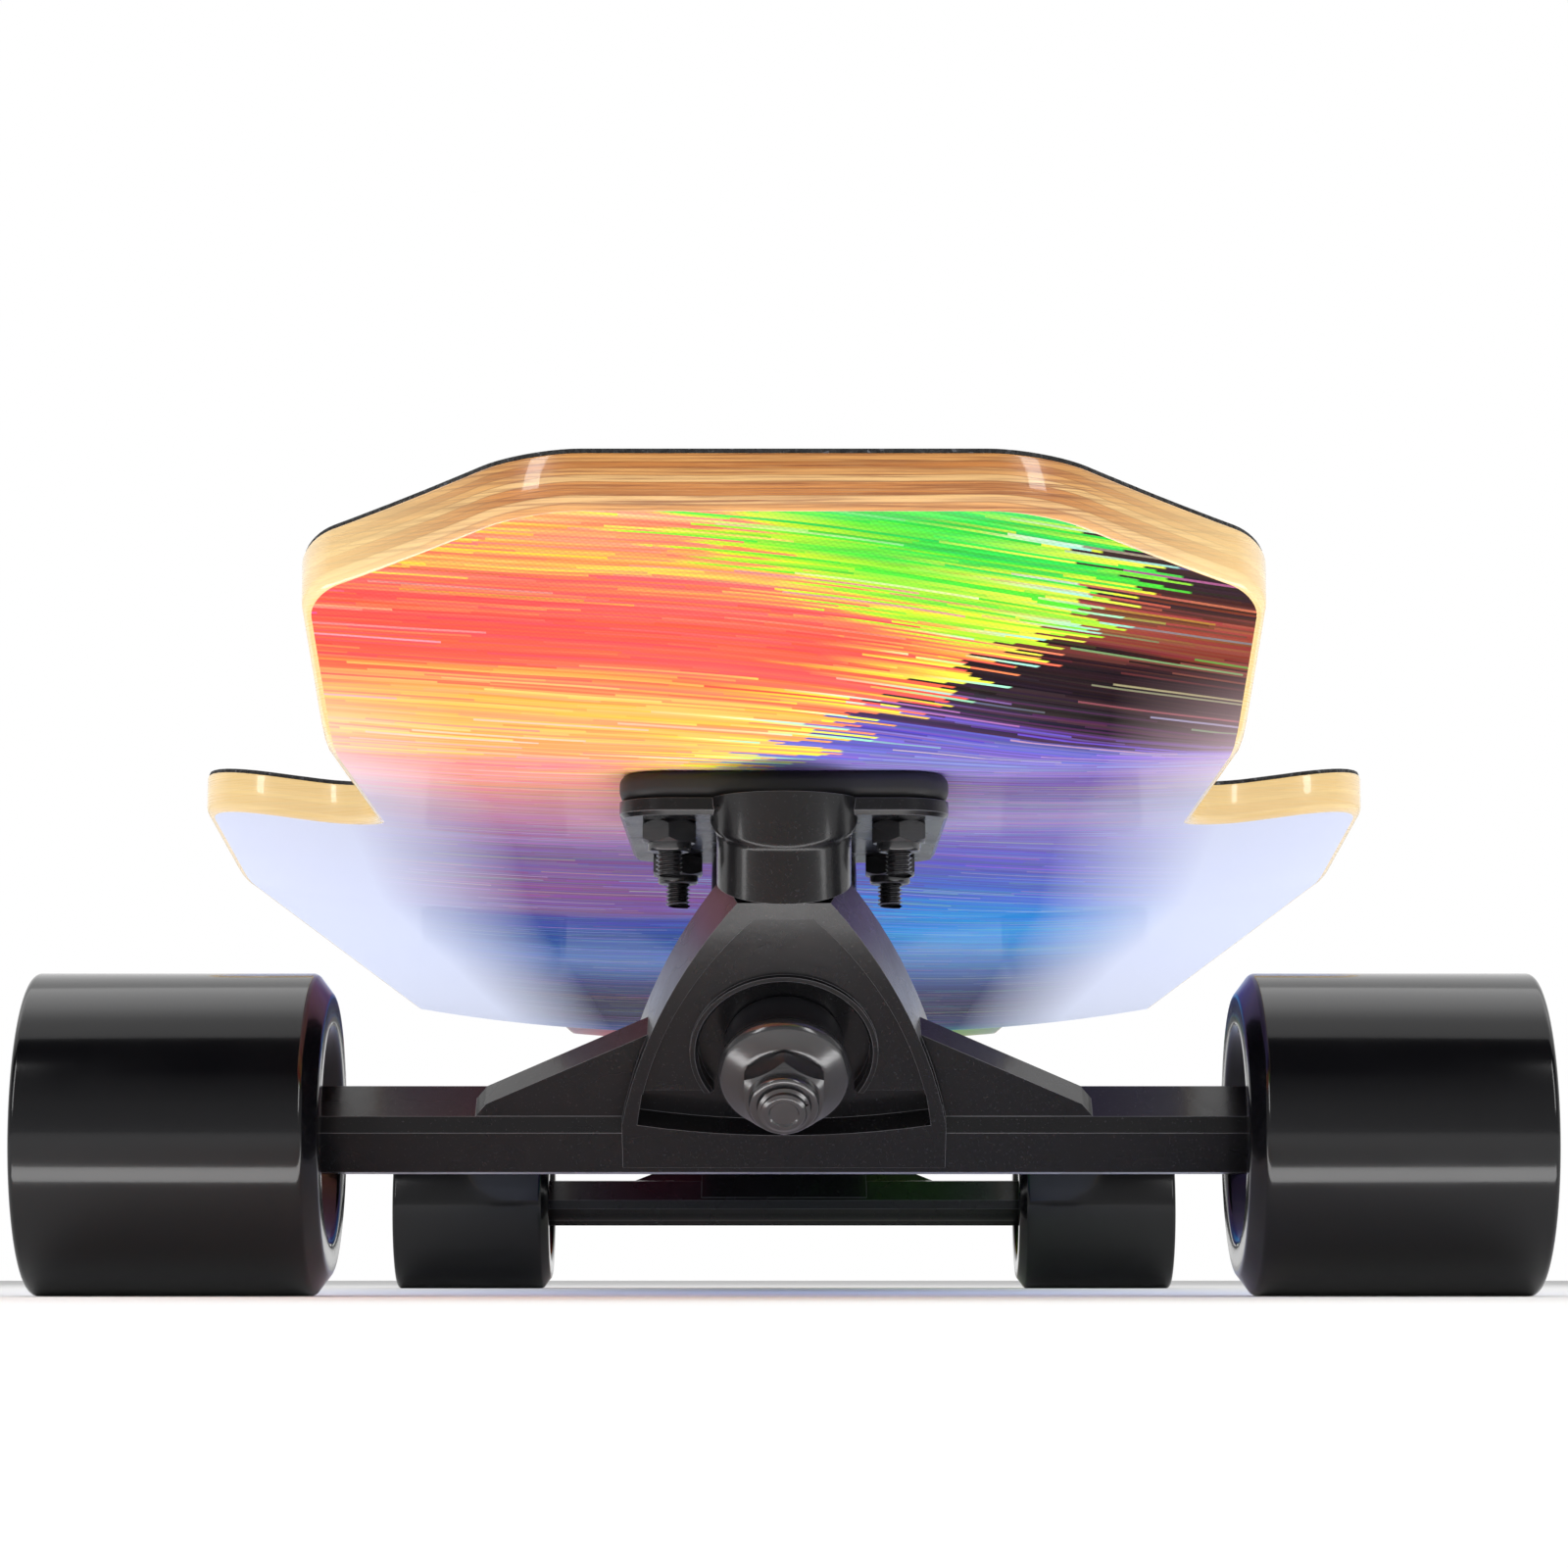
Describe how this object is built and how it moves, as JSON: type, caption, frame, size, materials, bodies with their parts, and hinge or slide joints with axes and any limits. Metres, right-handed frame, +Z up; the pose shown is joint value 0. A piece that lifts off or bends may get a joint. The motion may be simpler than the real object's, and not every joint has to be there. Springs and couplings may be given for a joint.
{
  "type": "longboard skateboard",
  "caption": "Longboard skateboard with kicked ends, cut-out wheel wells, sprung kingpin trucks and urethane wheels on ball bearings.",
  "frame": {"origin": "on the ground under the middle of the board", "axes": "+Z up, -Y towards the nose, +Y towards the tail, +X towards the rider's left"},
  "size_m": [0.2796, 1.041, 0.1329],
  "materials": {
    "deck_maple": "gloss",
    "grip_grit": "rough",
    "truck_black": "gloss",
    "bolt_black": "gloss",
    "bright_steel": "satin",
    "bushing_urethane": "satin",
    "riser_rubber": "matte",
    "wheel_urethane": "gloss",
    "wheel_core": "gloss",
    "shield_black": "satin"
  },
  "bodies": {
    "deck": {"deck": "deck_maple", "grip_tape": "grip_grit", "front_riser_pad": "riser_rubber", "front_baseplate": "truck_black", "front_pivot_cup": "bushing_urethane", "front_kingpin": "bolt_black", "front_kingpin_nut": "bolt_black", "front_bushing_board": "bushing_urethane", "front_bushing_road": "bushing_urethane", "front_washer_board": "bolt_black", "front_washer_road": "bolt_black", "front_deck_bolts": "bolt_black", "front_deck_nuts": "bolt_black", "rear_riser_pad": "riser_rubber", "rear_baseplate": "truck_black", "rear_pivot_cup": "bushing_urethane", "rear_kingpin": "bolt_black", "rear_kingpin_nut": "bolt_black", "rear_bushing_board": "bushing_urethane", "rear_bushing_road": "bushing_urethane", "rear_washer_board": "bolt_black", "rear_washer_road": "bolt_black", "rear_deck_bolts": "bolt_black", "rear_deck_nuts": "bolt_black"},
    "front_hanger": {"front_hanger": "truck_black", "front_axle": "bright_steel", "front_axle_nuts": "bright_steel", "front_speed_rings": "bright_steel", "front_left_bearing_inner_rings": "bright_steel", "front_left_spacer": "bright_steel", "front_right_bearing_inner_rings": "bright_steel", "front_right_spacer": "bright_steel"},
    "front_left_wheel": {"front_left_tyre": "wheel_urethane", "front_left_core": "wheel_core", "front_left_bearing_outer_rings": "bright_steel", "front_left_bearing_balls": "bright_steel", "front_left_bearing_shields": "shield_black"},
    "front_right_wheel": {"front_right_tyre": "wheel_urethane", "front_right_core": "wheel_core", "front_right_bearing_outer_rings": "bright_steel", "front_right_bearing_balls": "bright_steel", "front_right_bearing_shields": "shield_black"},
    "rear_hanger": {"rear_hanger": "truck_black", "rear_axle": "bright_steel", "rear_axle_nuts": "bright_steel", "rear_speed_rings": "bright_steel", "rear_left_bearing_inner_rings": "bright_steel", "rear_left_spacer": "bright_steel", "rear_right_bearing_inner_rings": "bright_steel", "rear_right_spacer": "bright_steel"},
    "rear_left_wheel": {"rear_left_tyre": "wheel_urethane", "rear_left_core": "wheel_core", "rear_left_bearing_outer_rings": "bright_steel", "rear_left_bearing_balls": "bright_steel", "rear_left_bearing_shields": "shield_black"},
    "rear_right_wheel": {"rear_right_tyre": "wheel_urethane", "rear_right_core": "wheel_core", "rear_right_bearing_outer_rings": "bright_steel", "rear_right_bearing_balls": "bright_steel", "rear_right_bearing_shields": "shield_black"}
  },
  "joints": [
    {"name": "front_steer", "type": "hinge", "parent": "deck", "child": "front_hanger", "pos_m": [0, -0.39567, 0.04808], "axis": [0, -0.6428, 0.766], "range_deg": [-12, 12], "stiffness_Nm_per_rad": 60, "deforming": ["front_bushing_board", "front_bushing_road"]},
    {"name": "rear_steer", "type": "hinge", "parent": "deck", "child": "rear_hanger", "pos_m": [0, 0.39567, 0.04808], "axis": [0, 0.6428, 0.766], "range_deg": [-12, 12], "stiffness_Nm_per_rad": 60, "deforming": ["rear_bushing_board", "rear_bushing_road"]},
    {"name": "front_left_spin", "type": "hinge", "parent": "front_hanger", "child": "front_left_wheel", "pos_m": [0.105, -0.3805, 0.03], "axis": [1, 0, 0], "continuous": true},
    {"name": "front_right_spin", "type": "hinge", "parent": "front_hanger", "child": "front_right_wheel", "pos_m": [-0.105, -0.3805, 0.03], "axis": [1, 0, 0], "continuous": true},
    {"name": "rear_left_spin", "type": "hinge", "parent": "rear_hanger", "child": "rear_left_wheel", "pos_m": [0.105, 0.3805, 0.03], "axis": [1, 0, 0], "continuous": true},
    {"name": "rear_right_spin", "type": "hinge", "parent": "rear_hanger", "child": "rear_right_wheel", "pos_m": [-0.105, 0.3805, 0.03], "axis": [1, 0, 0], "continuous": true}
  ]
}
